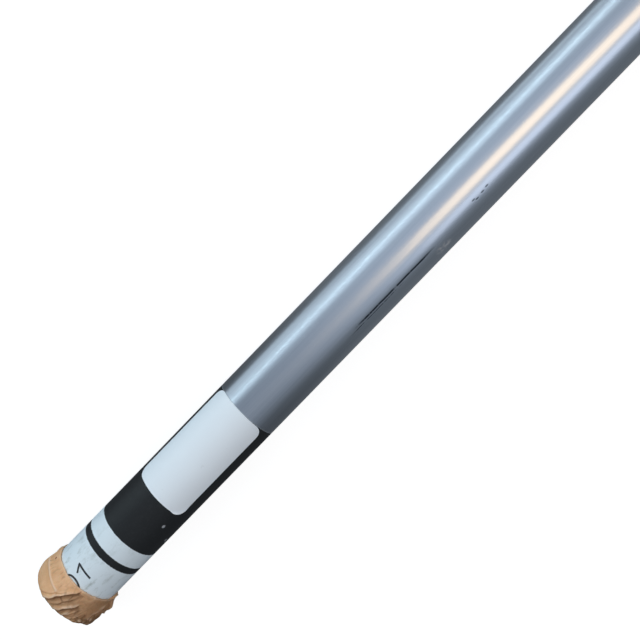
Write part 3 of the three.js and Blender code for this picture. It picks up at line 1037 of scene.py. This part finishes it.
def tape_surface(s, radius, angle):
    """The crumpled paper's height over the blunt shape, its painted crease shade and lip highlights,
    and its shade.
    """
    y, z = radius * sin(angle), radius * cos(angle)
    upper = smooth(z, -0.5, 1.6)
    height = lip_highlight = crease_shade = 0.0
    shares = [(fold, y, upper) for fold in FOLDS_ABOVE]
    for turn in (2 * pi / 3, -2 * pi / 3):
        facing = smooth(radius * cos(angle + turn), 0.5, 2.6) * (1 - upper)
        shares += [(fold, radius * sin(angle + turn), facing) for fold in FOLDS_BESIDE]
    for fold, across, share in shares:
        if share > 0:
            amounts = fold_height(fold, s, across)
            height += amounts[0] * share
            lip_highlight += amounts[1] * share
            crease_shade += amounts[2] * share
    place = Vector((s, y, z))
    calm = smooth(-y, 0.5, 3.0) * upper
    ragged = smooth(y, 3.6, 5.0) * smooth(s, 3.0, 4.4) * upper
    large, small = facets(place, 2.4), facets(place + Vector((9, 4, 2)), 0.9)
    pleat, ridge = pleats(s, angle)
    height += (0.24 * large + (0.07 + 0.2 * ragged) * small - 0.12) * (1 - 0.7 * calm)
    height += 0.07 * pleat + 0.2 * ridge
    # Painted shade in the cracks between facets and in the troughs of the pleats
    crease_shade += (0.35 + 0.5 * ragged) * smooth(0.14 - small, -0.06, 0.1) * (1 - 0.8 * calm)
    crease_shade += 0.4 * smooth(-pleat, 0.1, 1.0)
    beyond_fold = smooth((y - 1.5) * 0.807 + (s - 0.35) * 0.59, -0.1, 0.5)
    shade = 0.42 * max(beyond_fold * upper, 1 - upper)
    shade += 0.35 * smooth(y, 3.0, 6.5) * upper + 0.25 * ragged
    # Painted highlights on the ridge, the facets, the tape's edge and the pleats' crests
    lip_highlight += 0.9 * ridge + 0.3 * smooth(large, 0.5, 0.9) + 0.4 * ragged * smooth(small, 0.3, 0.7)
    lip_highlight += 0.5 * (1 - smooth(s, 0.1, 0.4)) + 0.3 * smooth(pleat, 0.2, 1.0)
    return height, min(crease_shade, 1), min(lip_highlight, 1), min(shade, 1)


def tape_edge_shift(angle):
    """How far the tape's edge strays along the tube."""
    around = Vector((cos(angle), sin(angle), 0))
    ragged = 0.2 * noise.noise(around * 2.3) + 0.09 * noise.noise(around * 9 + UP * 3)
    return ragged - 0.8 * bump(angle, radians(84), 0.14)


def tape_bulge(s, angle):
    """How far the tape stands out from its blunt shape on its two sides: (outward, onward)."""
    left = bump(angle, radians(-88), 0.42)
    right = bump(angle, radians(88), 0.32)
    bulges = 0.6 * bump(s, 2.3, 0.75) - 0.15 * bump(s, 1.05, 0.35) + 0.4 * bump(s, -0.2, 0.4)
    outward = left * 0.28 * bump(s, 4.2, 1.7) + right * bulges
    return outward, 0.65 * bump(angle, radians(74), 0.22) * smooth(s, 4.0, 6.5)


def creased(here, normal, travelled, angle):
    """Where a point of the tape's blunt outside goes, its painted crease shade and lip highlight, its
    shade and its stain.
    """
    height, *look = tape_surface(here.x, here.y, angle)
    height *= smooth(travelled, 0.0, 0.5)
    outward, onward = tape_bulge(here.x, angle)
    radius = here.y + normal.y * height + outward * smooth(here.y, 3, 6.5)
    radius = max(radius, min(here.y, TUBE_RADIUS + TAPE_WALL))
    from_stain = hypot(here.x - TAPE_STAIN[0], (angle - TAPE_STAIN[1]) * 7)
    return normal.x * height + onward, radius, (*look, bump(from_stain, 0, 0.24))


def make_tape():
    """Paper tape crumpled over the tip: a closed body with a creased outside."""
    profile = [(Vector(place), None, 0) for place in TAPE_INSIDE]
    profile += along_profile(TAPE_BLUNT, TAPE_ROWS)
    counts = [TAPE_SIDES if here.y > 0 else 1 for here, normal, travelled in profile]
    vertices, looks = [], []
    for (here, normal, travelled), count in zip(profile, counts):
        for step in range(count):
            angle = (2 * step / TAPE_SIDES + 1) % 2 * pi - pi
            onward, radius, look = 0, here.y, (0, 0, 0, 0)
            if normal:
                onward, radius, look = creased(here, normal, travelled, angle)
            if cos(angle) < 0:
                radius = min(radius, THICKEST_RADIUS / -cos(angle))
            onward += here.x + tape_edge_shift(angle) * exp(-max(here.x, 0) / 1.1)
            vertices.append(point(tip, TAPE_EDGE + onward, radius, angle))
            looks.append(look)
    piece = finish_mesh("tape_crumple", vertices, ring_faces(counts, TAPE_SIDES), paper_tape,
                        "tape_wrap", sharp=80)
    # The painted crease shade, painted lip highlight, shade and stain, stored for the material
    for name, values in zip(("crease_shade", "lip_highlight", "shade", "stain"), zip(*looks)):
        attribute = piece.data.attributes.new(name, "FLOAT", "POINT")
        attribute.data.foreach_set("value", values)


# Tip, anchor and crimp


def make_nose():
    low, high = reach("tip_point")
    shoulder = SECTION_LENGTH + GAP
    rim, flat, bore, web = 1, 2, 2.7, 2
    corners = [(SECTION_LENGTH - web, 0), (SECTION_LENGTH - web, bore), (low, bore)]
    corners += [(low, FERRULE_RADIUS), (shoulder, FERRULE_RADIUS), (shoulder, TUBE_RADIUS)]
    profile = softened(corners, 0.25, loop=False)
    for angle in np.linspace(0, pi / 2, 17):
        x = shoulder + rim + (high - shoulder - rim) * sin(angle)
        profile.append((x, flat + (TUBE_RADIUS - flat) * cos(angle)))
    turned("tip_nose", "tip_point", profile + [(high, 0)], tip_metal, loop=False)


def make_crimp(name, node, radius):
    """A brass sleeve squeezed flat in two places."""
    low, high = reach(node)
    length, depth = high - low, 0.32
    outline = sleeve(low, high, CRIMP_BORE, radius, [(x, radius) for x in np.linspace(low, high, 25)])

    def squeezed(x, r, angle):
        if r < radius * 0.9:
            return r
        share = (x - low) / length
        press = bump(share, 0.3, 0.09) + bump(share, 0.7, 0.09)
        return r - depth * press * abs(cos(angle)) ** 3

    turned(name, node, softened(outline, 0.2), crimp_brass, 64, shape=squeezed)


# Grip, lock and handle


def make_grip():
    """A rubber sleeve with close ribs, broken by channels along it."""
    low, high = reach("grip_sleeve")
    edge, margin, pitch, depth, flank, channel_depth = (1, 0.4), 7, 3, 0.5, 0.35, 0.45
    count = int((high - low - 2 * margin) / pitch)
    places = [low + margin + index * pitch + 2 * flank for index in range(count)]
    ribs = grooves(places, 2 * flank, THICKEST_RADIUS, depth, flank)
    outline = sleeve(low, high, SLEEVE_BORE, THICKEST_RADIUS, ribs, edge, edge)

    def channelled(x, radius, angle):
        if radius <= SLEEVE_BORE + 0.2:
            return radius
        inside = smooth(x, low + margin - 1, low + margin)
        inside *= smooth(-x, margin - high - 1, margin - high)
        channel = max(cos(6 * angle), 0) ** 12
        return min(radius, THICKEST_RADIUS - channel_depth * channel * inside)

    turned("grip_ribbed", "grip_sleeve", softened(outline, 0.18, 2), grip_rubber, 120, shape=channelled)


def make_collar(name, node):
    """A clamp ring with two turned grooves."""
    low, high = reach(node)
    radius, edge = 7.4, (0.5, 0.4)
    rings = grooves([low + (high - low) * share for share in (0.36, 0.64)], 0.35, radius, 0.3)
    outline = sleeve(low, high, SLEEVE_BORE, radius, rings, edge, edge)
    turned(name, node, softened(outline, 0.15), collar_metal)


def box_cutter(name, low, high):
    """A box between two corners in the top section's frame."""
    editable = bmesh.new()
    bmesh.ops.create_cube(editable, size=1)
    for vertex in editable.verts:
        amounts = [l + (h - l) * (c + 0.5) for l, h, c in zip(low, high, vertex.co)]
        vertex.co = flat_point(top, *amounts)
    if editable.calc_volume(signed=True) < 0:
        bmesh.ops.reverse_faces(editable, faces=editable.faces)
    return mesh_object(name, editable)


def round_cutter(name, start, end, radius):
    """A cylinder between two points in the top section's frame."""
    start, end = flat_point(top, *start), flat_point(top, *end)
    turn = (end - start).to_track_quat("Z", "Y").to_matrix().to_4x4()
    editable = bmesh.new()
    bmesh.ops.create_cone(editable, cap_ends=True, segments=64, radius1=radius * MM,
                          radius2=radius * MM, depth=(end - start).length,
                          matrix=Matrix.Translation((start + end) / 2) @ turn)
    bmesh.ops.recalc_face_normals(editable, faces=editable.faces)
    return mesh_object(name, editable)


def cut_from(piece, cutters, bevel):
    """Cuts meshes out of a piece of the top section, rounds its edges and stores its places again."""
    for cutter in cutters:
        modifier = piece.modifiers.new("cut", "BOOLEAN")
        modifier.operation = "DIFFERENCE"
        modifier.solver = "EXACT"
        modifier.object = cutter
    rounding = piece.modifiers.new("rounding", "BEVEL")
    rounding.width = bevel * MM
    rounding.segments = 3
    rounding.limit_method = "ANGLE"
    rounding.angle_limit = radians(50)
    graph = bpy.context.evaluated_depsgraph_get()
    graph.update()
    shaped = bpy.data.meshes.new_from_object(piece.evaluated_get(graph))
    piece.modifiers.clear()
    piece.data = shaped
    mark_place(shaped, top)
    smooth_shaded(shaped)
    for cutter in cutters:
        bpy.data.objects.remove(cutter)


button_low, button_high = reach("lock_button")
button_x = (button_low + button_high) / 2
button_bottom, button_top = [corner.z / MM - top.origin.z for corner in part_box("lock_button")]


def make_lock_body():
    low, high = reach("lock_body")
    shoulder = TOP_START - GAP
    corners = [(low, LOCK_BORE), (low, LOCK_RADIUS - LOCK_CHAMFER), (low + LOCK_CHAMFER, LOCK_RADIUS)]
    corners += grooves((low + 2.6, low + 3.8, shoulder - 3.4), 0.3, LOCK_RADIUS, 0.3)
    corners += [(shoulder, LOCK_RADIUS), (shoulder, FERRULE_RADIUS)]
    corners += [(high, FERRULE_RADIUS), (high, LOCK_BORE)]
    body = turned("lock_housing", "lock_body", softened(corners, 0.2), lock_metal)
    play = 0.2
    wide, above = BUTTON_HALF_WIDTH + play, LOCK_RADIUS + 1
    slot = box_cutter("slot", (button_low - play, -wide, SLOT_FLOOR), (button_high + play, wide, above))
    pocket = round_cutter("pocket", (button_x, 0, SPRING_FLOOR), (button_x, 0, 0), SPRING_POCKET)
    cut_from(body, [slot, pocket], 0.12)


def button_outline():
    """The button's long section: a plate with four ribs for the thumb. Points are (x, z)."""
    ribs, depth, inset = 4, 0.45, 0.35
    span = (button_high - button_low - 2 * inset) / (2 * ribs - 1)
    outline = [(button_high, button_bottom), (button_high, button_top - 2 * depth)]
    for index in range(ribs):
        x = button_high - inset - 2 * index * span
        outline += [(x, button_top), (x - span, button_top)]
        if index < ribs - 1:
            outline += [(x - span, button_top - depth), (x - 2 * span, button_top - depth)]
    return outline + [(button_low, button_top - 2 * depth), (button_low, button_bottom)]


def make_button():
    outline = button_outline()
    vertices = []
    for y in (-BUTTON_HALF_WIDTH, BUTTON_HALF_WIDTH):
        vertices += [flat_point(top, x, y, z) for x, z in outline]
    button = finish_mesh("thumb_button", vertices, capped_faces(2, len(outline)), button_plastic,
                         "lock_button")
    low, high = button_low - 1, button_high + 1
    wide = round_cutter("wide", (low, 0, BUTTON_TRAVEL), (high, 0, BUTTON_TRAVEL), BARREL_RADIUS + GAP)
    narrow = round_cutter("narrow", (low, 0, 0), (high, 0, 0), BARREL_NECK + GAP)
    cut_from(button, [wide, narrow], 0.14)


def make_spring():
    """The button's coil spring, from the pocket's floor up to the button."""
    wire, radius, turns, steps, play = 0.25, 1.6, 2.5, 120, 0.15
    low = SPRING_FLOOR + wire + play
    high = button_bottom - wire - play
    path = []
    for share in np.linspace(0, 1, steps + 1):
        angle = 2 * pi * turns * share
        x, y = button_x + radius * cos(angle), radius * sin(angle)
        path.append(flat_point(top, x, y, low + (high - low) * share))
    coil = swept("spring_coil", "lock_spring", path, lambda angle: wire, spring_steel, sides=16,
                 blended=True)
    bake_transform(coil)


def make_barrel():
    low, high = reach("lock_barrel")
    half = (button_high - button_low) / 2 + NECK_PLAY
    depth = BARREL_RADIUS - BARREL_NECK
    neck = grooves([low + NECK_PLACE], half, BARREL_RADIUS, depth, half)
    outline = sleeve(low, high, CRIMP_BORE, BARREL_RADIUS, neck, (BARREL_CONE, depth))
    turned("barrel_turned", "lock_barrel", softened(outline, 0.2), crimp_brass, 64)


def make_handle():
    """A waisted pull with finger flutes, and a pocket behind its cap for the crimp."""
    low, high = reach("pull_handle")
    length = high - low
    cap_hole, pocket = CAP_RADIUS + GAP, low + HANDLE_POCKET
    tail, tail_depth, face, face_depth = 1.6, 0.9, 1.2, 1.2
    waist = high - 0.42 * length
    corners = [(low, cap_hole), (low, LOCK_RADIUS - tail_depth)]
    for x in np.linspace(low + tail, high - face, 33):
        flare = smooth(abs(x - waist) / (length / 2), 0, 1)
        corners.append((x, WAIST_RADIUS + (LOCK_RADIUS - WAIST_RADIUS) * flare))
    corners += [(high, LOCK_RADIUS - face_depth), (high, HANDLE_HOLE)]
    corners += [(pocket, HANDLE_HOLE), (pocket, cap_hole)]

    def fluted(x, radius, angle):
        if radius < WAIST_RADIUS - 0.1:
            return radius
        middle = exp(-((x - waist) / (0.3 * length)) ** 4)
        return radius - 0.3 * middle * (0.5 + 0.5 * cos(10 * angle)) ** 3

    turned("pull_grip", "pull_handle", softened(corners, 0.35), handle_plastic, 120, shape=fluted)


def make_cap():
    """The handle's end disc, with a shallow turned ring."""
    low, high = reach("handle_cap")
    ring, half, floor, depth = 3.25, 0.35, 0.15, 0.25
    corners = [(low, 0), (low, ring - half), (low + depth, ring - floor), (low + depth, ring + floor)]
    corners += [(low, ring + half), (low, CAP_RADIUS), (high, CAP_RADIUS), (high, 0)]
    turned("cap_disc", "handle_cap", softened(corners, 0.15, loop=False), collar_metal, loop=False)


for number in SECTIONS:
    make_tube(number)
    make_straight_cable(number)
    if number < 6:
        make_ferrule(number)
    if number > 1:
        make_bush(number)
        make_fold_cable(number)
    make_numerals(number)
make_label()
make_tape()
make_nose()
make_crimp("anchor_crimp", "cable_anchor", 2.3)
make_crimp("handle_crimp", "cable_crimp", 2.6)
make_grip()
make_collar("collar_upper_ring", "grip_collar_upper")
make_collar("collar_lower_ring", "grip_collar_lower")
make_lock_body()
make_button()
make_spring()
make_barrel()
make_handle()
make_cap()
